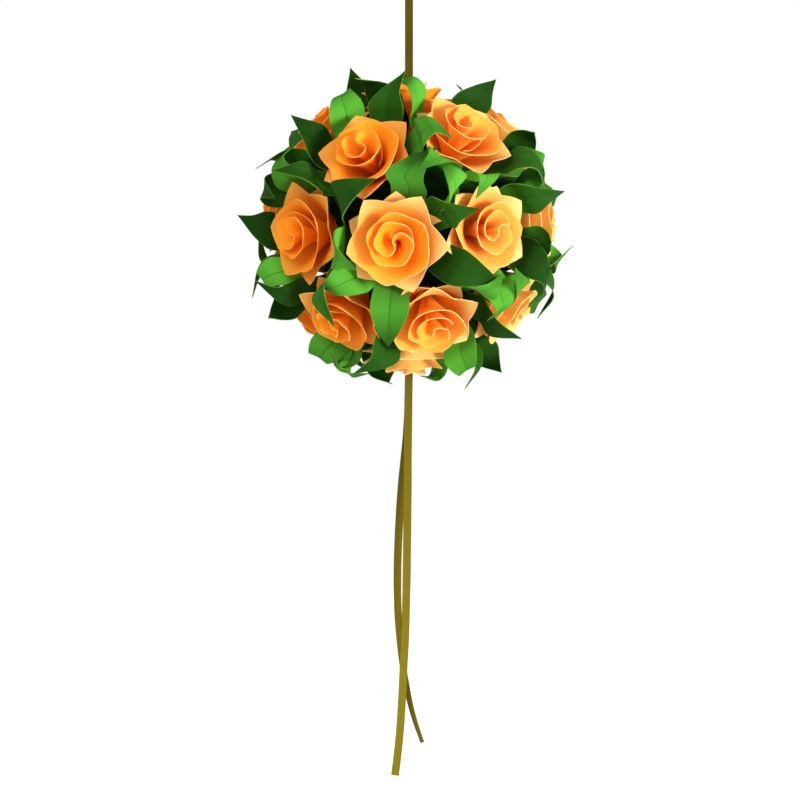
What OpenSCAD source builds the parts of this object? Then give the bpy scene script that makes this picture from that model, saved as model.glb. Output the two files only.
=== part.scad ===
// Hanging flower ball: rolled paper roses and curled paper leaves on a foam core, on a ribbon.
// Origin at the inside top of the hanging loop, +Z up, the front towards -Y, sizes in millimetres.

/* [Roses] */
// Width of an open rose across its petal corners
rose_d = 42; // [38:1:48]
// Height of the rolled heart above the core
heart_h = 22; // [19:0.5:26]
// Height of the outermost petal corner above the core
petal_h = 10; // [8:0.5:12]
// Thickness of the rose paper
rose_paper_t = 0.3; // [0.2:0.05:0.5]

/* [Leaves] */
// Height of a standing leaf's tip above the core
leaf_h = 28; // [24:1:34]
// Width of a leaf at its widest
leaf_w = 16; // [12:1:18]
// Thickness of the leaf paper
leaf_paper_t = 0.3; // [0.2:0.05:0.5]

/* [Ribbon] */
// Width of the ribbon
ribbon_w = 3.2; // [2.4:0.2:4]
// Thickness of the ribbon
ribbon_t = 0.4; // [0.2:0.05:0.6]
// Distance from the top of the hanging loop to the middle of the ball
hang_h = 122; // [115:1:140]
// Height of the hanging loop above its knot
loop_h = 22; // [16:1:30]
// Width of the knot
knot_d = 5; // [4.4:0.2:7]

/* [Hidden] */
// Radius of the ball at the petal corners, as a share of a rose's width, so that neighbours clear
crowding = 1.117;
// Clearance between what is glued and what it is glued to
seat_gap = 0.15;
// Clearance round the ribbon in its hole and in the rose hearts that it passes through
ribbon_gap = 0.5;
core_r = crowding * rose_d - petal_h;
bore_r = ribbon_w / 2 + ribbon_gap;
ball_mid = [0, 0, -hang_h];
knot_h = knot_d;
knot_top = -loop_h;
knot_bottom = knot_top - knot_h;
strand_y = ribbon_t / 2 + 0.05;

// A rose strip is rolled through this angle from one fold to the next
fold_turn = 66;
// Folds along the strip, the fold from which it opens out of the roll, and the first open corner
folds = 19;
open_from = 10;
corners_from = 13;
// Each fold from this one on tucks in under the star by this share
tuck_from = 16;
tuck = 0.03;
// The share of a corner's reach that a valley between two corners has, and how far it dips
valley_in = 0.75;
valley_dip = 0.5;
// Radius of the roll at the rim of its heart, how much each fold adds to it, and the inner end's hook
heart_r = 4;
roll_step = 1;
hook_r = 1.2;
// Radius of a hooked heart's foot, and the thickness of the whole roll at its foot
hook_foot_r = 0.5;
foot_t = 4.2;
// Place of the bend in a petal's profile, as shares of its reach and height
bend_out = 0.36;
bend_up = 0.55;

// Half-widths of a leaf from foot to tip, as shares of its widest
leaf_shape = [0.36, 0.6, 0.8, 0.92, 0.52, 0];
// How far its sides fold up beside its midrib, as shares of those half-widths
leaf_fold = [0.1, 0.15, 0.12, 0.15, 0.15, 0];
// The way up from the core between the roses: angle from the rose's axis, share of petal_h, sway as below
leaf_stem = [[17, 0, 0], [19.5, 0.7, 0], [24.6, 1.4, 0.05]];
// The free ends: angle from the rose's axis, share of leaf_h, and sway to the right in half-widths
STAND = [[24.5, 0.74, 0.2], [26, 0.92, 0.45], [31.5, 1.12, 1]];
ARCH = [[25, 0.76, 0.25], [29, 0.94, 0.65], [38, 0.9, 1.5]];
CURL = [[24.5, 0.75, 0.25], [28, 0.93, 0.5], [35, 0.82, 1]];
FLAT = [[29, 0.62, -0.3], [36.5, 0.68, 0.2], [45, 0.65, 0.9]];
OVER = [[28.5, 0.74, 0], [36, 0.85, 0], [45, 0.83, 0]];

// Each flower: longitude from the front, latitude, the strip's end as a clock angle, openness,
// and its leaves: clock angle from the top as seen from outside, and pose
FLOWERS = [
    [0, 90, 20, 0.96, [[203, STAND]]],
    [-23, 33, 79, 0.97, [[5, STAND], [63, CURL], [238, STAND], [281, STAND], [322, CURL]]],
    [36, 44, 0, 1, [[32, STAND], [121, ARCH], [184, CURL], [226, CURL], [320, CURL]]],
    [97, 46, 52, 0.94, [[35, STAND], [126, CURL], [246, STAND]]],
    [157, 43, 80, 1, [[123, STAND], [198, ARCH], [257, STAND]]],
    [217, 44, 10, 0.97, [[12, STAND], [112, CURL], [240, CURL], [327, STAND]]],
    [278, 50, 70, 0.95, [[145, STAND], [246, STAND]]],
    [-6, -8, 24, 1, [[13, FLAT], [55, STAND], [112, OVER], [186, OVER], [227, CURL]]],
    [37, -3, 2, 0.97, [[50, STAND], [112, ARCH], [162, CURL], [307, CURL]]],
    [86, 3, 0, 1, [[61, STAND], [148, ARCH], [242, STAND], [312, CURL]]],
    [130, -1, 20, 0.96, [[56, ARCH], [142, STAND], [236, CURL], [350, STAND]]],
    [174, -2, 60, 1, [[40, STAND], [129, CURL], [223, STAND], [318, ARCH]]],
    [218, 0, 10, 0.97, [[47, CURL], [122, STAND], [321, STAND]]],
    [262, 8, 30, 1, [[67, ARCH], [159, STAND], [231, CURL]]],
    [306, -3, 70, 1, [[62, OVER], [103, CURL], [141, ARCH], [225, CURL], [270, STAND], [335, CURL]]],
    [14, -47, 356, 0.98, [[33, CURL], [82, STAND], [134, CURL], [218, STAND]]],
    [78, -38, 45, 0.94, [[70, ARCH], [173, STAND], [286, CURL], [336, STAND]]],
    [132, -44, 15, 1, [[55, STAND], [158, CURL], [216, STAND], [318, CURL]]],
    [190, -43, 35, 0.95, [[22, CURL], [62, STAND], [155, ARCH], [302, STAND]]],
    [248, -40, 55, 1, [[75, STAND], [159, CURL], [213, STAND], [351, ARCH]]],
    [314, -44, 35, 0.92, [[225, CURL], [303, STAND]]],
    [0, -90, 0, 0.96, [[170, STAND], [285, CURL]]]
];

// Points of the ribbon's tails below the middle of the ball
FRONT_TAIL = [
    [-0.2, -0.4, -66], [-0.3, -0.6, -75], [-0.4, -0.8, -84], [-0.5, -1, -93], [-0.5, -1.2, -102],
    [-0.6, -1.3, -111], [-0.7, -1.4, -120], [-0.8, -1.5, -129], [-0.9, -1.5, -138], [-1.1, -1.5, -147],
    [-1.3, -1.5, -156], [-1.6, -1.4, -165], [-2.1, -1.2, -174], [-2.5, -1, -183], [-3, -0.7, -192],
    [-3.6, -0.4, -201], [-4.5, 0, -210], [-5.6, 0.5, -219]
];
BACK_TAIL = [
    [-0.2, 0.3, -66], [-0.4, 0.5, -75], [-1, 0.9, -84], [-1.9, 1.4, -93], [-2.8, 2, -102],
    [-3.5, 2.6, -111], [-4, 3.1, -120], [-4.4, 3.5, -129], [-4.6, 3.9, -138], [-4.6, 4.2, -147],
    [-4.3, 4.4, -156], [-3.6, 4.5, -165], [-2.6, 4.4, -174], [-1.2, 4.2, -182], [0.4, 3.9, -190],
    [2.6, 3.5, -198], [5.4, 3, -206]
];
// Points of one half of the hanging loop: distance out in millimetres, and down as a share of loop_h
LOOP_HALF = [[0, 0], [1.6, 0.02], [3, 0.08], [4, 0.18], [4.3, 0.32], [3.9, 0.48], [2.9, 0.64], [1.7, 0.8]];

two_digits = function(n) str(n < 10 ? "0" : "", n);
rose_name = function(i) str("rose_", two_digits(i + 1));
leaves_name = function(i) str("leaves_", two_digits(i + 1));
EACH = [0 : len(FLOWERS) - 1];
$fn = 64;

// Directions at a flower on the ball: to the right, up and outwards as seen from outside
function rightwards(f) = [cos(f[0]), sin(f[0]), 0];
function upwards(f) = [-sin(f[1]) * sin(f[0]), sin(f[1]) * cos(f[0]), cos(f[1])];
function outwards(f) = [cos(f[1]) * sin(f[0]), -cos(f[1]) * cos(f[0]), sin(f[1])];
function on_ball(f, p) = ball_mid + p[0] * rightwards(f) + p[1] * upwards(f) + p[2] * outwards(f);

// Unit vector at right angles to the way from p to q, in a plane of radius and height
function across(p, q) = [q[1] - p[1], p[0] - q[0]] / norm(q - p);

// Triangles of a lofted solid: n sections of m points, up one face and down the other, so that both
// faces share their diagonals, closed at each end between those two faces
function loft_faces(n, m) = concat(
    [for (i = [0 : n - 2], j = [0 : m - 1])
        let(a = i * m + j, b = i * m + (j + 1) % m, c = a + m, d = b + m)
        each 2 * j < m ? [[b, a, c], [d, b, c]] : [[b, a, d], [a, c, d]]],
    [for (j = [0 : m / 2 - 2]) each [[j, j + 1, m - 2 - j], [j, m - 2 - j, m - 1 - j]]],
    [for (j = [0 : m / 2 - 2]) let(z = (n - 1) * m)
        each [[z + j, z + m - 2 - j, z + j + 1], [z + j, z + m - 1 - j, z + m - 2 - j]]]
);

// Triangles that close the last of n sections of m points to a single tip point
function tip_faces(n, m) = [for (j = [0 : m - 1]) [(n - 1) * m + (j + 1) % m, (n - 1) * m + j, n * m]];

// Profile of a rose's strip at its k-th fold, as radius and height: foot, bend and rim
function rose_profile(k, open, hooked) = let(
    grown = k / folds,
    valley = k % 1,
    opened = min(max((k - open_from) / (corners_from - open_from), 0), 1),
    roll_r = k == 0 && hooked ? hook_r : heart_r + roll_step * k,
    star_r = rose_d / 2 * (1 - tuck * max(k - tuck_from, 0)),
    reach = roll_r + (star_r - roll_r) * opened * opened * (3 - 2 * opened),
    rim_r = open * reach * (1 - 2 * valley * (1 - valley_in)),
    rim_h = heart_h - (heart_h - petal_h) * pow(grown, 1.6) - 2 * valley * valley_dip,
    foot_r = (hooked ? hook_foot_r : bore_r) + foot_t * grown
) [
    [foot_r, sqrt(pow(core_r, 2) - pow(foot_r, 2)) + seat_gap],
    [foot_r + bend_out * (open * reach - foot_r), core_r + bend_up * rim_h],
    [rim_r, core_r + rim_h]
];

// Closed section of the strip, up its outer face and down its inner face
function rose_section(k, open, hooked) = let(
    p = rose_profile(k, open, hooked),
    t = rose_paper_t / 2,
    low = [1, 0],
    middle = across(p[0], p[2]),
    high = across(p[1], p[2])
) [
    p[0] + t * low, p[1] + t * middle, p[2] + t * high,
    p[2] - t * high, p[1] - t * middle, p[0] - t * low
];

// A rose's heart is hooked shut, apart from the two at the poles, which the ribbon passes through
module rose(f) {
    hooked = abs(f[1]) < 90;
    stations = concat([for (k = [0 : corners_from - 1]) k], [for (k = [corners_from : 0.5 : folds]) k]);
    points = [
        for (k = stations, s = rose_section(k, f[3], hooked))
            let(turned = f[2] + (folds - k) * fold_turn)
            on_ball(f, [s[0] * cos(turned), s[0] * sin(turned), s[1]])
    ];
    color("#f79a3a") polyhedron(points, loft_faces(len(stations), 6));
}

// Spine of a leaf: angle from the rose's axis, radius from the middle of the ball, and sway
function leaf_spine(pose) = concat(
    [for (s = leaf_stem) [s[0], core_r + seat_gap + leaf_paper_t / 2 + s[1] * petal_h, s[2]]],
    [for (s = pose) [s[0], core_r + s[1] * leaf_h, s[2]]]
);
function leaf_line(spine) = [for (s = spine) s[1] * [sin(s[0]), cos(s[0])]];

module leaf(f, clock, pose) {
    spine = leaf_spine(pose);
    line = leaf_line(spine);
    last = len(line) - 1;
    along = [sin(clock), cos(clock)];
    sideways = [cos(clock), -sin(clock)];
    place = function(p, side) on_ball(f, concat(p[0] * along + side * sideways, p[1]));
    sections = [
        for (i = [0 : last - 1])
            let(
                face = across(line[max(i - 1, 0)], line[i + 1]),
                sway = leaf_w / 2 * spine[i][2],
                half = leaf_w / 2 * leaf_shape[i],
                edge = line[i] - leaf_fold[i] * half * face,
                t = leaf_paper_t / 2 * face
            )
            each [
                place(edge - t, sway - half), place(line[i] - t, sway), place(edge - t, sway + half),
                place(edge + t, sway + half), place(line[i] + t, sway), place(edge + t, sway - half)
            ]
    ];
    sides = [for (s = loft_faces(last, 6)) if (min(s) < (last - 1) * 6) s];
    color("#2f7d2b") polyhedron(
        concat(sections, [place(line[last], leaf_w / 2 * spine[last][2])]),
        concat(sides, tip_faces(last, 6))
    );
}

module leaves(f) {
    for (l = f[4]) leaf(f, l[0], l[1]);
}

module core_ball() {
    color("#1d3312") translate(ball_mid) difference() {
        sphere(r = core_r);
        cylinder(r = bore_r, h = 3 * core_r, center = true);
    }
}

// Closed eight-sided section of the ribbon at right angles to its way, wide along side
function ribbon_section(p, way, side) = let(
    w = ribbon_w / 2,
    t = ribbon_t / 2,
    wide = side - (side * way) * way,
    a = wide / norm(wide),
    b = cross(way, a)
) [for (c = [[1, 0.4], [0.85, 1], [-0.85, 1], [-1, 0.4], [-1, -0.4], [-0.85, -1], [0.85, -1], [1, -0.4]])
    p + w * c[0] * a + t * c[1] * b];

module ribbon(route, sides) {
    last = len(route) - 1;
    points = [
        for (i = [0 : last])
            let(way = route[min(i + 1, last)] - route[max(i - 1, 0)])
            each ribbon_section(route[i], way / norm(way), sides[i])
    ];
    color("#a58c1e") polyhedron(points, loft_faces(last + 1, 8));
}

// A strand from the knot straight down through the ball, and its tail, turning by twist at its end
module strand(y, tail, twist) {
    straight = [for (z = [knot_bottom : -9.4 : -hang_h - 60]) [0, y, z]];
    route = concat(straight, [for (p = tail) ball_mid + p]);
    turn = function(i) twist * pow(max(i - len(straight), 0) / len(tail), 2);
    ribbon(route, [for (i = [0 : len(route) - 1]) [cos(turn(i)), sin(turn(i)), 0]]);
}

module ribbon_front() {
    strand(-strand_y, FRONT_TAIL, 0);
}

module ribbon_back() {
    strand(strand_y, BACK_TAIL, 70);
}

module ribbon_knot() {
    color("#a58c1e") translate([0, 0, knot_bottom + knot_h / 2]) rotate_extrude() intersection() {
        translate([0, -knot_h / 2]) square([knot_d / 2, knot_h]);
        circle(r = 0.6 * knot_d);
    }
}

module hanging_loop() {
    half = [for (p = LOOP_HALF) [p[0], 0, ribbon_t / 2 - p[1] * loop_h]];
    foot = [for (share = [0.91, 1]) [ribbon_t, 0, knot_top * share]];
    right = concat(half, foot);
    left = [for (i = [len(right) - 1 : -1 : 1]) [-right[i][0], 0, right[i][2]]];
    route = concat(left, right);
    ribbon(route, [for (p = route) [0, 1, 0]]);
}

core_ball();
for (i = EACH) rose(FLOWERS[i]);
for (i = EACH) leaves(FLOWERS[i]);
ribbon_front();
ribbon_back();
ribbon_knot();
hanging_loop();
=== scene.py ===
"""Hanging ball of rolled paper roses and curled paper leaves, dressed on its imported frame."""
import math
import random

import bpy
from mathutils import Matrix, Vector


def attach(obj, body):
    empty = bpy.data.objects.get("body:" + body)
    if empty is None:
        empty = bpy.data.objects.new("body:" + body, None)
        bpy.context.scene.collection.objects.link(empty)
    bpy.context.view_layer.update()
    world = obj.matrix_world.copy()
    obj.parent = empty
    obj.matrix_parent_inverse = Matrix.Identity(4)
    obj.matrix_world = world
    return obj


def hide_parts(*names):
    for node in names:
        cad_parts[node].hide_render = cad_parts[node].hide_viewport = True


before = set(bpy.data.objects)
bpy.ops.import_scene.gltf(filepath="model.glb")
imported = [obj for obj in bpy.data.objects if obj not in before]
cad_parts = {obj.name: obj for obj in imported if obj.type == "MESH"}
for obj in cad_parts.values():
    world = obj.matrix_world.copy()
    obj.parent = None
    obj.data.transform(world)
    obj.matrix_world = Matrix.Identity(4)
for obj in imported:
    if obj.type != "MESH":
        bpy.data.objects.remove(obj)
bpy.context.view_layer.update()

MM = 0.001

# Sizes of the part, in millimetres, as in its source
ROSE_D, HEART_H, PETAL_H, ROSE_PAPER_T = 42, 22, 10, 0.3
LEAF_H, LEAF_W, LEAF_PAPER_T = 28, 16, 0.3
RIBBON_W, RIBBON_T, HANG_H, LOOP_H, KNOT_D = 3.2, 0.4, 122, 22, 5
CROWDING, SEAT_GAP, RIBBON_GAP, STRAND_GAP = 1.117, 0.15, 0.5, 0.1
CORE_R = CROWDING * ROSE_D - PETAL_H
BORE_R = RIBBON_W / 2 + RIBBON_GAP
BALL_MID = Vector((0, 0, -HANG_H))
KNOT_TOP = -LOOP_H
KNOT_BOTTOM = KNOT_TOP - KNOT_D
STRAND_Y = (RIBBON_T + STRAND_GAP) / 2

# Camera: the photo's width in pixels, a pixel's size at the ball, and the ball's place in the photo
PHOTO = 800
PIXEL = 0.4 * MM
RIBBON_COLUMN, BALL_ROW = 409, 228
CAMERA_BACK = 2.4
SENSOR = 36


def add(name, data):
    obj = bpy.data.objects.new(name, data)
    bpy.context.scene.collection.objects.link(obj)
    return obj


def add_camera():
    data = bpy.data.cameras.new("camera")
    data.sensor_width = SENSOR
    data.lens = SENSOR * CAMERA_BACK / (PHOTO * PIXEL)
    camera = add("camera", data)
    right = (PHOTO / 2 - RIBBON_COLUMN) * PIXEL
    down = (PHOTO / 2 - BALL_ROW) * PIXEL
    camera.location = (right, -CAMERA_BACK, BALL_MID.z * MM - down)
    camera.rotation_euler = (math.radians(90), 0, 0)
    bpy.context.scene.camera = camera


add_camera()


# Materials

FIBRE_SCALE, FIBRE_DETAIL = 900, 4
RIB_SCALE, RIB_DISTORTION, RIB_STRENGTH = 700, 1, 0.35
RELIEF = 0.05 * MM
# The ribbon's colour is brighter at a lower height and darker with painted shade at a higher one,
# in metres
RIBBON_BRIGHT, RIBBON_BRIGHT_Z = (0.155, 0.118, 0.007), -0.3
RIBBON_PAINTED_SHADE, RIBBON_PAINTED_SHADE_Z = (0.053, 0.043, 0.001), -0.05
RIBBON_ROUGHNESS, RIBBON_GLOSS = 0.5, 0.04
CORE_COLOUR = (0.01, 0.028, 0.006)


def new_material(name, roughness, gloss):
    """A material with its nodes, its links and its surface's inputs."""
    material = bpy.data.materials.new(name)
    material.use_nodes = True
    nodes, links = material.node_tree.nodes, material.node_tree.links
    surface = nodes["Principled BSDF"].inputs
    surface["Roughness"].default_value = roughness
    surface["Specular IOR Level"].default_value = gloss
    return material, nodes, links, surface


def add_relief(nodes, links, height, strength, surface):
    bump = nodes.new("ShaderNodeBump")
    bump.inputs["Strength"].default_value = strength
    bump.inputs["Distance"].default_value = RELIEF
    links.new(height, bump.inputs["Height"])
    links.new(bump.outputs["Normal"], surface["Normal"])


def paper_material(name, roughness, gloss, see_through, grain):
    """Paper with its colour, painted light and shade among it, from the mesh's tone attribute, some
    light through it and a grain.
    """
    material, nodes, links, surface = new_material(name, roughness, gloss)
    tone = nodes.new("ShaderNodeAttribute")
    tone.attribute_name = "tone"
    links.new(tone.outputs["Color"], surface["Base Color"])
    place = nodes.new("ShaderNodeTexCoord")
    fibres = nodes.new("ShaderNodeTexNoise")
    fibres.inputs["Scale"].default_value = FIBRE_SCALE
    fibres.inputs["Detail"].default_value = FIBRE_DETAIL
    links.new(place.outputs["Object"], fibres.inputs["Vector"])
    add_relief(nodes, links, fibres.outputs["Fac"], grain, surface)
    through = nodes.new("ShaderNodeBsdfTranslucent")
    links.new(tone.outputs["Color"], through.inputs["Color"])
    mix = nodes.new("ShaderNodeMixShader")
    mix.inputs["Fac"].default_value = see_through
    links.new(nodes["Principled BSDF"].outputs["BSDF"], mix.inputs[1])
    links.new(through.outputs["BSDF"], mix.inputs[2])
    links.new(mix.outputs["Shader"], nodes["Material Output"].inputs["Surface"])
    return material


def ribbon_material():
    """Olive-gold satin with fine ribs across it, and painted shade that darkens it towards its top.
    """
    material, nodes, links, surface = new_material("ribbon_satin", RIBBON_ROUGHNESS, RIBBON_GLOSS)
    place = nodes.new("ShaderNodeTexCoord")
    split = nodes.new("ShaderNodeSeparateXYZ")
    links.new(place.outputs["Object"], split.inputs["Vector"])
    # Painted shade: the colour darkens from the lower height to the higher one
    height = nodes.new("ShaderNodeMapRange")
    height.inputs["From Min"].default_value = RIBBON_BRIGHT_Z
    height.inputs["From Max"].default_value = RIBBON_PAINTED_SHADE_Z
    links.new(split.outputs["Z"], height.inputs["Value"])
    tone = nodes.new("ShaderNodeMix")
    tone.data_type = "RGBA"
    tone.inputs["A"].default_value = (*RIBBON_BRIGHT, 1)
    tone.inputs["B"].default_value = (*RIBBON_PAINTED_SHADE, 1)
    links.new(height.outputs["Result"], tone.inputs["Factor"])
    links.new(tone.outputs["Result"], surface["Base Color"])
    ribs = nodes.new("ShaderNodeTexWave")
    ribs.wave_type = "BANDS"
    ribs.bands_direction = "Z"
    ribs.inputs["Scale"].default_value = RIB_SCALE
    ribs.inputs["Distortion"].default_value = RIB_DISTORTION
    links.new(place.outputs["Object"], ribs.inputs["Vector"])
    add_relief(nodes, links, ribs.outputs["Fac"], RIB_STRENGTH, surface)
    return material


def core_material():
    """Foam in the leaves' shade, without any gloss."""
    material, _, _, surface = new_material("core_foam", roughness=1, gloss=0)
    surface["Base Color"].default_value = (*CORE_COLOUR, 1)
    return material


ROSE_PAPER = paper_material("rose_paper", roughness=0.8, gloss=0.1, see_through=0.42, grain=0.25)
LEAF_PAPER = paper_material("leaf_paper", roughness=0.6, gloss=0.05, see_through=0.15, grain=0.35)
RIBBON = ribbon_material()
CORE_FOAM = core_material()


# Curves and sheets

SHARP_FROM = math.radians(35)


def smooth(points, steps):
    """Catmull-Rom curve through points of any dimension, with so many steps between each two."""
    points = [Vector(p) for p in points]
    ends = [2 * points[0] - points[1], *points, 2 * points[-1] - points[-2]]
    line = []
    for i in range(len(points) - 1):
        a, b, c, d = ends[i:i + 4]
        for s in range(steps):
            t = s / steps
            bent = (2 * a - 5 * b + 4 * c - d) * t ** 2 + (3 * b - a - 3 * c + d) * t ** 3
            line.append(b + ((c - a) * t + bent) / 2)
    return line + [points[-1]]


def between(low, high, share):
    return low + (high - low) * share


def blend(a, b, share):
    return [between(x, y, share) for x, y in zip(a, b)]


def ease(low, high, x):
    """0 below low, 1 above high, and smooth between them."""
    t = min(max((x - low) / (high - low), 0), 1)
    return t * t * (3 - 2 * t)


def new_piece(name, verts, faces, material, tones=None):
    """A smooth mesh in metres from millimetres, with its colours, painted light and shade among
    them, in the tone attribute.
    """
    mesh = bpy.data.meshes.new(name)
    mesh.from_pydata([v * MM for v in verts], [], faces)
    mesh.shade_smooth()
    mesh.set_sharp_from_angle(angle=SHARP_FROM)
    if tones:
        attribute = mesh.attributes.new("tone", "FLOAT_COLOR", "POINT")
        attribute.data.foreach_set("color", [x for tone in tones for x in (*tone, 1)])
    mesh.materials.append(material)
    return add(name, mesh)


def paper_sheet(rows, colours, thickness):
    """Vertices, faces and colours of a sheet: its two faces and the cut edge round them."""
    n, m = len(rows), len(rows[0])
    normals = []
    for i in range(n):
        for j in range(m):
            along = rows[min(i + 1, n - 1)][j] - rows[max(i - 1, 0)][j]
            across = rows[i][min(j + 1, m - 1)] - rows[i][max(j - 1, 0)]
            normals.append(along.cross(across).normalized() * thickness / 2)
    points = [p for row in rows for p in row]
    verts = [p + q for p, q in zip(points, normals)] + [p - q for p, q in zip(points, normals)]
    front = [
        (i * m + j, (i + 1) * m + j, (i + 1) * m + j + 1, i * m + j + 1)
        for i in range(n - 1) for j in range(m - 1)
    ]
    back = [tuple(n * m + v for v in reversed(face)) for face in front]
    rim = (
        [i * m for i in range(n)]
        + [(n - 1) * m + j for j in range(1, m)]
        + [i * m + m - 1 for i in range(n - 2, -1, -1)]
        + [j for j in range(m - 2, 0, -1)]
    )
    edge = [(b, a, n * m + a, n * m + b) for a, b in zip(rim, rim[1:] + rim[:1])]
    tones = [tone for row in colours for tone in row]
    return verts, front + back + edge, tones + tones


def join_sheets(sheets):
    """Several sheets' vertices, faces and colours as one."""
    verts, faces, tones = [], [], []
    for sheet_verts, sheet_faces, sheet_tones in sheets:
        faces += [tuple(len(verts) + v for v in face) for face in sheet_faces]
        verts += sheet_verts
        tones += sheet_tones
    return verts, faces, tones


# Ribbon: the route's points from the part's source, below the ball's middle and round the loop

FRONT_TAIL = [
    [-0.2, -0.4, -66], [-0.3, -0.6, -75], [-0.4, -0.8, -84], [-0.5, -1, -93],
    [-0.5, -1.2, -102], [-0.6, -1.3, -111], [-0.7, -1.4, -120], [-0.8, -1.5, -129],
    [-0.9, -1.5, -138], [-1.1, -1.5, -147], [-1.3, -1.5, -156], [-1.6, -1.4, -165],
    [-2.1, -1.2, -174], [-2.5, -1, -183], [-3, -0.7, -192], [-3.6, -0.4, -201],
    [-4.5, 0, -210], [-5.6, 0.5, -219],
]
BACK_TAIL = [
    [-0.2, 0.3, -66], [-0.4, 0.5, -75], [-1, 0.9, -84], [-1.9, 1.4, -93],
    [-2.8, 2, -102], [-3.5, 2.6, -111], [-4, 3.1, -120], [-4.4, 3.5, -129],
    [-4.6, 3.9, -138], [-4.6, 4.2, -147], [-4.3, 4.4, -156], [-3.6, 4.5, -165],
    [-2.6, 4.4, -174], [-1.2, 4.2, -182], [0.4, 3.9, -190], [2.6, 3.5, -198],
    [5.4, 3, -206],
]
# Half of the loop: millimetres to the right, and share of the loop's height from its top
LOOP_HALF = [
    [0, 0], [1.6, 0.02], [3, 0.08], [4, 0.18], [4.3, 0.32], [3.9, 0.48], [2.9, 0.64], [1.7, 0.8],
]
LOOP_FOOT = [0.91, 1]
STRAND_STEP = 9.4
STRAIGHT_BELOW_MID = 60
RIBBON_STEPS = 6
# Half of the ribbon's section: share of the half-width, and share of the half-thickness
RIBBON_SECTION = [[1, 0], [0.98, 0.7], [0.93, 1], [0.86, 0.85], [0.5, 0.8], [0, 0.85]]


def ribbon_piece(name, route, sides):
    """A ribbon along the route, wide along sides; its mesh and the line that it follows."""
    line = smooth([(*p, *side) for p, side in zip(route, sides)], RIBBON_STEPS)
    path = [Vector(p[:3]) for p in line]
    half = RIBBON_SECTION + [[-w, t] for w, t in RIBBON_SECTION[-2::-1]]
    section = half + [[w, -t] for w, t in half[-2:0:-1]]
    last, m = len(line) - 1, len(section)
    verts = []
    for i, point in enumerate(line):
        way = (path[min(i + 1, last)] - path[max(i - 1, 0)]).normalized()
        side = Vector(point[3:])
        a = (side - side.dot(way) * way).normalized() * RIBBON_W / 2
        b = way.cross(a).normalized() * RIBBON_T / 2
        verts += [path[i] + w * a + t * b for w, t in section]
    faces = [
        (i * m + j, i * m + (j + 1) % m, (i + 1) * m + (j + 1) % m, (i + 1) * m + j)
        for i in range(last) for j in range(m)
    ]
    faces += [tuple(range(m - 1, -1, -1)), tuple(range(last * m, last * m + m))]
    return new_piece(name, verts, faces, RIBBON), [p * MM for p in path]


def strand(name, y, tail, twist):
    """A strand from the knot down through the ball, and its tail, turning by twist at its end."""
    count = int((HANG_H + STRAIGHT_BELOW_MID + KNOT_BOTTOM) / STRAND_STEP) + 1
    straight = [[0, y, KNOT_BOTTOM - STRAND_STEP * i] for i in range(count)]
    route = straight + [list(BALL_MID + Vector(p)) for p in tail]
    twist = math.radians(twist)
    turns = [twist * (max(i - count, 0) / len(tail)) ** 2 for i in range(len(route))]
    return ribbon_piece(name, route, [[math.cos(a), math.sin(a), 0] for a in turns])


def hanging_loop(name):
    half = [[x, 0, RIBBON_T / 2 - down * LOOP_H] for x, down in LOOP_HALF]
    right = half + [[RIBBON_T, 0, KNOT_TOP * share] for share in LOOP_FOOT]
    route = [[-x, y, z] for x, y, z in right[:0:-1]] + right
    return ribbon_piece(name, route, [[0, 1, 0]] * len(route))


def add_ribbon():
    # Each strand's node, place, tail, twist in degrees and length in metres
    strands = [
        ("ribbon_front", -STRAND_Y, FRONT_TAIL, 0, 0.314),
        ("ribbon_back", STRAND_Y, BACK_TAIL, -70, 0.302),
    ]
    for node, y, tail, twist, length in strands:
        piece, path = strand(node + "_satin", y, tail, twist)
        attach(piece, "root")
        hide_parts(node)
    piece, path = hanging_loop("hanging_loop_satin")
    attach(piece, "root")
    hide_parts("hanging_loop")


add_ribbon()


# Flowers: the table of the part's source

# Along a leaf: share of its half-width, and how far its sides fold down
LEAF_SHAPE = [0.45, 0.75, 0.9, 0.94, 0.52, 0]
LEAF_FOLD = [0.1, 0.15, 0.12, 0.15, 0.15, 0]
# Along a leaf's midrib: degrees round the ball from its flower's middle, share of a height (the
# petals' height along the stem, the leaf's own in its pose), and sway as a share of half-width
LEAF_STEM = [[17, 0, 0], [19.5, 0.7, 0], [24.6, 1.4, 0.05]]
STAND = [[24.5, 0.74, 0.2], [26, 0.92, 0.45], [31.5, 1.12, 1]]
ARCH = [[25, 0.76, 0.25], [29, 0.94, 0.65], [38, 0.9, 1.5]]
CURL = [[24.5, 0.75, 0.25], [28, 0.93, 0.5], [35, 0.82, 1]]
FLAT = [[29, 0.62, -0.3], [36.5, 0.68, 0.2], [45, 0.65, 0.9]]
OVER = [[28.5, 0.74, 0], [36, 0.85, 0], [45, 0.83, 0]]

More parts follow.
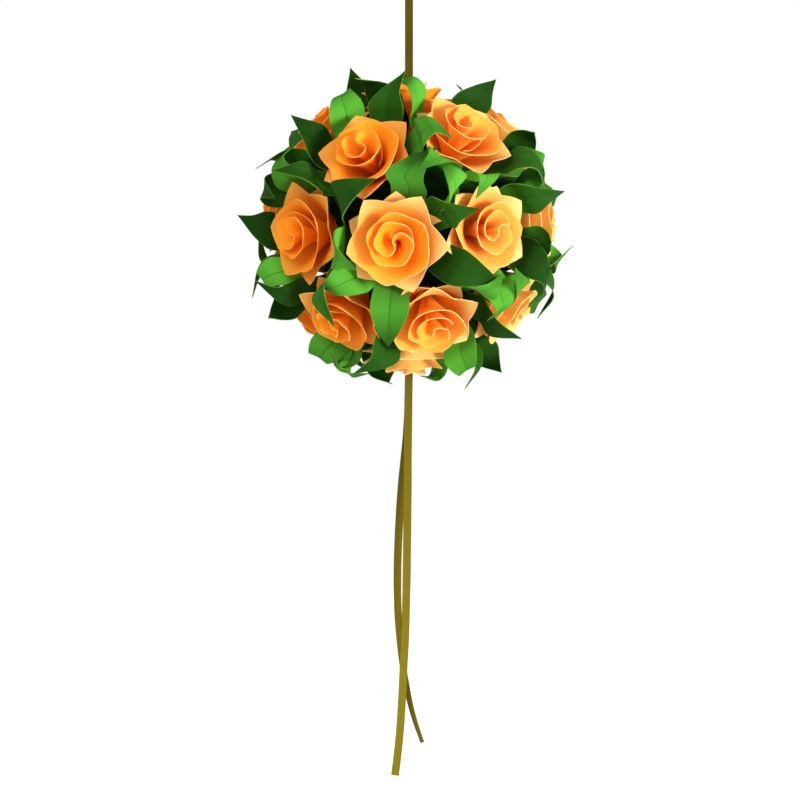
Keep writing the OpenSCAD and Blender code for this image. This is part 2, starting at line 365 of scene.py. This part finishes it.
# Each flower: longitude from the front, latitude, the strip's end as a clock angle, openness,
# and its leaves: clock angle from the top as seen from outside, and pose
FLOWERS = [
    [0, 90, 20, 0.96, [[203, STAND]]],
    [-23, 33, 79, 0.97, [[5, STAND], [63, CURL], [238, STAND], [281, STAND], [322, CURL]]],
    [36, 44, 0, 1, [[32, STAND], [121, ARCH], [184, CURL], [226, CURL], [320, CURL]]],
    [97, 46, 52, 0.94, [[35, STAND], [126, CURL], [246, STAND]]],
    [157, 43, 80, 1, [[123, STAND], [198, ARCH], [257, STAND]]],
    [217, 44, 10, 0.97, [[12, STAND], [112, CURL], [240, CURL], [327, STAND]]],
    [278, 50, 70, 0.95, [[145, STAND], [246, STAND]]],
    [-6, -8, 24, 1, [[13, FLAT], [55, STAND], [112, OVER], [186, OVER], [227, CURL]]],
    [37, -3, 2, 0.97, [[50, STAND], [112, ARCH], [162, CURL], [307, CURL]]],
    [86, 3, 0, 1, [[61, STAND], [148, ARCH], [242, STAND], [312, CURL]]],
    [130, -1, 20, 0.96, [[56, ARCH], [142, STAND], [236, CURL], [350, STAND]]],
    [174, -2, 60, 1, [[40, STAND], [129, CURL], [223, STAND], [318, ARCH]]],
    [218, 0, 10, 0.97, [[47, CURL], [122, STAND], [321, STAND]]],
    [262, 8, 30, 1, [[67, ARCH], [159, STAND], [231, CURL]]],
    [
        306, -3, 70, 1,
        [[62, OVER], [103, CURL], [141, ARCH], [225, CURL], [270, STAND], [335, CURL]],
    ],
    [14, -47, 356, 0.98, [[33, CURL], [82, STAND], [134, CURL], [218, STAND]]],
    [78, -38, 45, 0.94, [[70, ARCH], [173, STAND], [286, CURL], [336, STAND]]],
    [132, -44, 15, 1, [[55, STAND], [158, CURL], [216, STAND], [318, CURL]]],
    [190, -43, 35, 0.95, [[22, CURL], [62, STAND], [155, ARCH], [302, STAND]]],
    [248, -40, 55, 1, [[75, STAND], [159, CURL], [213, STAND], [351, ARCH]]],
    [314, -44, 35, 0.92, [[225, CURL], [303, STAND]]],
    [0, -90, 0, 0.96, [[170, STAND], [285, CURL]]],
]


class Flower:
    """A place on the ball: to the right, up and outwards as seen from outside."""

    def __init__(self, row):
        lon, lat, spin, self.open, self.leaves = row
        self.hooked = abs(lat) < 90
        self.spin = math.radians(spin)
        lon, lat = math.radians(lon), math.radians(lat)
        level = Vector((math.sin(lon), -math.cos(lon), 0))
        self.right = Vector((math.cos(lon), math.sin(lon), 0))
        self.up = Vector((0, 0, math.cos(lat))) - math.sin(lat) * level
        self.out = Vector((0, 0, math.sin(lat))) + math.cos(lat) * level

    def at(self, x, y, z):
        return BALL_MID + x * self.right + y * self.up + z * self.out


# Roses: a strip of paper rolled from an S-shaped heart outwards, its last turn open into petal
# corners, and its other end rolled with it for about a turn

FOLD_TURN = math.radians(66)
FOLDS = 18
STATIONS_PER_FOLD = 8
# The strip's other end, which is cut aslant over its last folds
OTHER_END_FOLDS, OTHER_END_HEIGHT, SLANT_FOLDS = 6, 0.5, 3
# The roll: its radius at the heart, its growth with each fold, and the folds of the heart's hook
HEART_R, ROLL_STEP, HEART_FOLDS = 5.4, 1.22, 1.8
ROLL_VALLEY_IN, ROLL_LIFT = 0.9, 1
# The open star: the folds between which it opens, and its valleys, corners and tucked-in end
OPEN_FROM, CORNERS_FROM = 8.2, 11.4
VALLEY_IN, VALLEY_DIP = 0.75, 0.5
POINTED = 1.35
TIP_DROP, TIP_FROM = 0.8, 0.7
TUCK_FROM, TUCK = 15, 0.03
# Up the strip: the foot on the core with its flap, the bend and the rim
HEART_FOOT_R, FOOT_GROWTH, FOOT_FLAP, FLAP_INSIDE = 0.15, 4.6, 1.1, 0.1
BEND_OUT, BEND_UP, BEND_AT = 0.36, 0.55, 0.45
HEART_BEND_OUT, HEART_UNTIL = 0.06, 5
RIM_FALL = 1.6
RIM_STEPS = [0, 0.12, 0.24, 0.36, 0.48, 0.6, 0.72, 0.82, 0.9, 0.95, 0.985, 1]
# How far the rim wavers by hand, and how often with each fold
WAVER, WAVER_RATES = 0.1, (0.7, 1.3, 2.3)

# Painted shade in deep orange down in the roll, the paper's orange, and a cream for painted light
PAINTED_SHADE_ORANGE = (1, 0.4, 0.012)
ORANGE = (1, 0.45, 0.027)
PAINTED_LIT_CREAM = (1, 0.78, 0.3)
# Shares of the strip's height above which its painted shade turns orange, and above which painted
# light pales it
ORANGE_FROM, PAINTED_LIGHT_FROM = 0.4, 0.5
# Shares of the strip's length between which painted light begins to pale its outer part
OUTER_FROM, OUTER_UNTIL = 0.45, 0.72
# The heart's cut edge takes a painted highlight in cream, which fades between these folds
EDGE_PAINTED_LIT_CREAM, EDGE_FADES_FROM, EDGE_FADES_UNTIL = 0.65, 1.5, 5.5
# Painted light: how far a rose's paper pales from orange to cream, at its petal corners and all
# over, most on the roses the key light falls on
ROSE_PAINTED_LIGHT = {
    1: (0.5, 0), 2: (0.3, 0), 3: (0.65, 0.15), 4: (0.9, 0.4), 8: (0.85, 0), 9: (1, 0.2),
    10: (1, 0.6), 15: (0.25, 0), 16: (0.95, 0.1), 17: (1, 0.6), 21: (0.6, 0), 22: (1, 0.6),
}
ROSE_PAINTED_LIGHT_ELSEWHERE = (0.6, 0)


def corner(k):
    """1 at a fold's corner, and 0 in the valley between two corners."""
    return abs(2 * (k % 1) - 1)


def opened(k):
    """0 in the roll, and 1 where the strip is open into a star."""
    return ease(OPEN_FROM, CORNERS_FROM, k)


def reach(k):
    """Radius of the rim at a corner."""
    roll = HEART_R + ROLL_STEP * k
    star = ROSE_D / 2 * (1 - TUCK * max(k - TUCK_FROM, 0))
    return between(roll, star, opened(k))


def rim_radius(k):
    """Radius of the rim at the k-th fold: nearly round in the roll, pointed in the star."""
    roll = between(ROLL_VALLEY_IN, 1, corner(k))
    star = between(VALLEY_IN, 1, corner(k) ** POINTED)
    return reach(k) * between(roll, star, opened(k))


def on_core(r):
    """Radius and height of a point that rests on the core."""
    return r, math.sqrt(CORE_R ** 2 - r ** 2) + SEAT_GAP


def rose_profile(k, flower, waver, height):
    """Radii and heights up the strip at its k-th fold, from its flap to a share of its height."""
    grown = k / FOLDS
    start = math.sin(min(k / HEART_FOLDS, 1) * math.pi / 2) if flower.hooked else 1
    rim_r = (flower.open * rim_radius(k) + waver) * start
    rim_h = between(HEART_H, PETAL_H, grown ** RIM_FALL)
    rim_h -= (1 - corner(k)) * between(ROLL_LIFT, VALLEY_DIP, opened(k))
    first_r = HEART_FOOT_R if flower.hooked else BORE_R
    foot_r = first_r + FOOT_GROWTH * grown
    flap, foot = on_core(max(foot_r - FOOT_FLAP, first_r - FLAP_INSIDE)), on_core(foot_r)
    bend_out = between(HEART_BEND_OUT, BEND_OUT, ease(0, HEART_UNTIL, k))
    bend_r = between(foot_r, flower.open * reach(k) * start, bend_out)
    bend, rim = (bend_r, CORE_R + BEND_UP * rim_h), (rim_r, CORE_R + rim_h)
    drop = TIP_DROP * opened(k) * corner(k) ** 2
    points = [flap]
    for t in (height * step for step in RIM_STEPS):
        at_foot = (t - BEND_AT) * (t - 1) / BEND_AT
        at_bend = t * (t - 1) / (BEND_AT * (BEND_AT - 1))
        at_rim = t * (t - BEND_AT) / (1 - BEND_AT)
        r, h = (at_foot * a + at_bend * b + at_rim * c for a, b, c in zip(foot, bend, rim))
        points.append((r, h - drop * ease(TIP_FROM, 1, t) * t))
    return points


def rose_colour_and_painted_light(k, t, painted_light):
    """Painted shade in deep orange inside, painted light paling it up the strip and outwards along
    it, and a painted highlight palest at the edge.
    """
    at_corners, all_over = painted_light
    pale = blend(ORANGE, PAINTED_LIT_CREAM, at_corners)
    # Painted highlight in cream along the cut edge
    if t == 1:
        fading = 1 - ease(EDGE_FADES_FROM, EDGE_FADES_UNTIL, k)
        return blend(pale, PAINTED_LIT_CREAM, EDGE_PAINTED_LIT_CREAM * at_corners * fading)
    # Painted shade low in the roll fades to orange up the strip, and painted light turns a whole
    # rose towards cream
    tone = blend(blend(PAINTED_SHADE_ORANGE, ORANGE, ease(ORANGE_FROM, 1, t)), PAINTED_LIT_CREAM, all_over)
    # Painted light on the outer petals, most at their corners
    outer = ease(OUTER_FROM, OUTER_UNTIL, k / FOLDS) * (1 + corner(k)) / 2
    return blend(tone, pale, ease(PAINTED_LIGHT_FROM, 1, t) * outer)


def rose_strip(flower, folds, from_turn, end_height, painted_light, phase):
    """Sheet of a strip that leaves the heart in a direction and is cut aslant to end_height."""
    rows, colours = [], []
    for step in range(folds * STATIONS_PER_FOLD + 1):
        k = step / STATIONS_PER_FOLD
        turned = from_turn - k * FOLD_TURN
        waver = sum(WAVER * math.sin(k * rate + p) for rate, p in zip(WAVER_RATES, phase))
        height = between(1, end_height, ease(folds - SLANT_FOLDS, folds, k))
        rows.append([
            flower.at(r * math.cos(turned), r * math.sin(turned), h)
            for r, h in rose_profile(k, flower, waver, height)
        ])
        colours.append([rose_colour_and_painted_light(k, t, painted_light) for t in (0, *RIM_STEPS)])
    return paper_sheet(rows, colours, ROSE_PAPER_T)


def rose_piece(name, flower, painted_light, rng):
    phase = [rng.uniform(0, 2 * math.pi) for _ in WAVER_RATES]
    heart = flower.spin + FOLDS * FOLD_TURN
    ends = [(FOLDS, heart, 1)]
    if flower.hooked:
        ends.append((OTHER_END_FOLDS, heart + math.pi, OTHER_END_HEIGHT))
    verts, faces, tones = join_sheets(rose_strip(flower, *end, painted_light, phase) for end in ends)
    return new_piece(name, verts, faces, ROSE_PAPER, tones)


# Leaves: folded along the midrib, curled along their length

LEAF_STEPS = 6
LEAF_ACROSS = [-1, -0.96, -0.75, -0.5, -0.25, -0.05, 0, 0.05, 0.25, 0.5, 0.75, 0.96, 1]
LEAF_TIP_HALF = 0.1
FOLD_CURVE = 1.2
DARK_GREEN = (0.008, 0.042, 0.002)
LIGHT_GREEN = (0.135, 0.56, 0.045)
# A painted highlight along a leaf's cut edge
LEAF_EDGE_PAINTED_HIGHLIGHT = (0.11, 0.28, 0.02)
# Painted shade in the fold along the midrib
MIDRIB_PAINTED_SHADE = 0.7
# Most leaves are dark and a few are lighter, and a curled one takes a painted highlight
LIGHTEST, CURLED_PAINTED_HIGHLIGHT = 0.28, 0.42
# A painted sheen makes a leaf's green lighter along its middle than at its foot and tip
PAINTED_SHEEN_AT_ENDS, PAINTED_SHEEN_AT_MIDDLE = 0.4, 1.45
# For what differs by hand: each rose's waver and each leaf's green
SEED = 7


def leaf_colours(along, lightness_and_highlight):
    """Colours across a leaf at a share of its length, with painted sheen, painted shade and a
    painted highlight.
    """
    # Painted sheen, lightest along the leaf's middle
    light = between(PAINTED_SHEEN_AT_ENDS, PAINTED_SHEEN_AT_MIDDLE, math.sin(math.pi * along) ** 2)
    tone = blend(DARK_GREEN, LIGHT_GREEN, lightness_and_highlight * light)
    # Painted shade darkens the midrib's fold
    midrib = blend(tone, DARK_GREEN, MIDRIB_PAINTED_SHADE)
    # Painted highlight on the cut edge, and painted shade in the midrib
    return [LEAF_EDGE_PAINTED_HIGHLIGHT if abs(w) == 1 else midrib if w == 0 else tone for w in LEAF_ACROSS]


def leaf_line(pose):
    """Along a leaf: distance from its flower's middle, height, sway, half-width and fold."""
    seat = CORE_R + SEAT_GAP + LEAF_PAPER_T / 2
    spine = [(math.radians(a), seat + s * PETAL_H, sway) for a, s, sway in LEAF_STEM]
    spine += [(math.radians(a), CORE_R + s * LEAF_H, sway) for a, s, sway in pose]
    half = LEAF_W / 2
    return smooth([
        (r * math.sin(a), r * math.cos(a), half * sway, half * shape, fold)
        for (a, r, sway), shape, fold in zip(spine, LEAF_SHAPE, LEAF_FOLD)
    ], LEAF_STEPS)


def leaf_sheet(flower, clock, pose, lightness_and_highlight):
    line = leaf_line(pose)
    last = len(line) - 1
    sin, cos = math.sin(math.radians(clock)), math.cos(math.radians(clock))
    rows, colours = [], []
    for i, (away, high, sway, half, fold) in enumerate(line):
        way = line[min(i + 1, last)] - line[max(i - 1, 0)]
        face = Vector((way[1], -way[0])).normalized()
        half = max(half, LEAF_TIP_HALF)
        row = []
        for w in LEAF_ACROSS:
            drop = fold * half * abs(w) ** FOLD_CURVE
            x, z = away - drop * face[0], high - drop * face[1]
            side = sway + w * half
            row.append(flower.at(x * sin + side * cos, x * cos - side * sin, z))
        rows.append(row)
        colours.append(leaf_colours(i / last, lightness_and_highlight))
    return paper_sheet(rows, colours, LEAF_PAPER_T)


def leaves_piece(name, flower, rng):
    sheets = []
    for clock, pose in flower.leaves:
        # Random lightness, and a painted highlight on a curled leaf
        lightness_and_highlight = LIGHTEST * rng.random() ** 2 + (CURLED_PAINTED_HIGHLIGHT if pose is CURL else 0)
        sheets.append(leaf_sheet(flower, clock, pose, lightness_and_highlight))
    verts, faces, tones = join_sheets(sheets)
    return new_piece(name, verts, faces, LEAF_PAPER, tones)


def add_flowers():
    rng = random.Random(SEED)
    for i, row in enumerate(FLOWERS, 1):
        flower = Flower(row)
        rose, leaves = f"rose_{i:02d}", f"leaves_{i:02d}"
        # Painted light: how far this rose pales towards cream
        painted_light = ROSE_PAINTED_LIGHT.get(i, ROSE_PAINTED_LIGHT_ELSEWHERE)
        pieces = [
            (rose_piece(rose + "_paper", flower, painted_light, rng), rose, "rose_paper"),
            (leaves_piece(leaves + "_paper", flower, rng), leaves, "leaf_paper"),
        ]
        for piece, node, slot in pieces:
            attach(piece, "root")
            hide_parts(node)


add_flowers()


# Solids that are shown as they are

for node, material in (("core_ball", CORE_FOAM), ("ribbon_knot", RIBBON)):
    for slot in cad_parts[node].material_slots:
        slot.material = material


# Stage: a pale floor under the tails, soft studio light and a white background

BALL = BALL_MID * MM
FLOOR_Z, FLOOR_SIZE = -0.36, 6
FLOOR_GREY, FLOOR_ROUGHNESS, FLOOR_GLOSS, FLOOR_GLOW = 0.9, 0.9, 0.5, 0.6
WHITE = (1, 1, 1, 1)
# The world lights the part softly, and looks plain white
SOFT_LIGHT, WHITE_LIGHT = 0.6, 1


def where_seen(nodes, links):
    """1 for what the camera and reflections see, and 0 for what lights the part."""
    path = nodes.new("ShaderNodeLightPath")
    seen = path.outputs["Is Camera Ray"]
    for ray in ("Is Glossy Ray", "Is Transmission Ray"):
        either = nodes.new("ShaderNodeMath")
        either.operation = "MAXIMUM"
        links.new(seen, either.inputs[0])
        links.new(path.outputs[ray], either.inputs[1])
        seen = either.outputs[0]
    return seen


def add_floor():
    half = FLOOR_SIZE / 2
    mesh = bpy.data.meshes.new("floor")
    corners = [(-half, -half, 0), (half, -half, 0), (half, half, 0), (-half, half, 0)]
    mesh.from_pydata(corners, [], [(0, 1, 2, 3)])
    floor = add("floor", mesh)
    floor.location.z = FLOOR_Z
    material, nodes, links, surface = new_material("floor_paper", FLOOR_ROUGHNESS, FLOOR_GLOSS)
    surface["Base Color"].default_value = (FLOOR_GREY, FLOOR_GREY, FLOOR_GREY, 1)
    surface["Emission Color"].default_value = WHITE
    glow = nodes.new("ShaderNodeMath")
    glow.operation = "MULTIPLY"
    glow.inputs[1].default_value = FLOOR_GLOW
    links.new(where_seen(nodes, links), glow.inputs[0])
    links.new(glow.outputs[0], surface["Emission Strength"])
    mesh.materials.append(material)


def add_light(name, from_ball, size, watts):
    """A square lamp that shines at the ball from a place beside it."""
    data = bpy.data.lights.new(name, "AREA")
    data.size = size
    data.energy = watts
    light = add(name, data)
    place = BALL + Vector(from_ball)
    light.location = place
    light.rotation_euler = (BALL - place).to_track_quat("-Z", "Y").to_euler()


def add_world():
    world = bpy.data.worlds.new("studio")
    world.use_nodes = True
    bpy.context.scene.world = world
    nodes, links = world.node_tree.nodes, world.node_tree.links
    mix = nodes.new("ShaderNodeMixShader")
    links.new(where_seen(nodes, links), mix.inputs["Fac"])
    backgrounds = [nodes["Background"], nodes.new("ShaderNodeBackground")]
    for i, (background, strength) in enumerate(zip(backgrounds, (SOFT_LIGHT, WHITE_LIGHT)), 1):
        background.inputs["Color"].default_value = WHITE
        background.inputs["Strength"].default_value = strength
        links.new(background.outputs["Background"], mix.inputs[i])
    links.new(mix.outputs["Shader"], nodes["World Output"].inputs["Surface"])


add_floor()
add_light("key", from_ball=(1.1, -1.0, -0.1), size=0.4, watts=36)
add_light("fill", from_ball=(-0.6, -1.3, 0.9), size=1.0, watts=14)
add_world()
bpy.context.scene.view_settings.view_transform = "Standard"
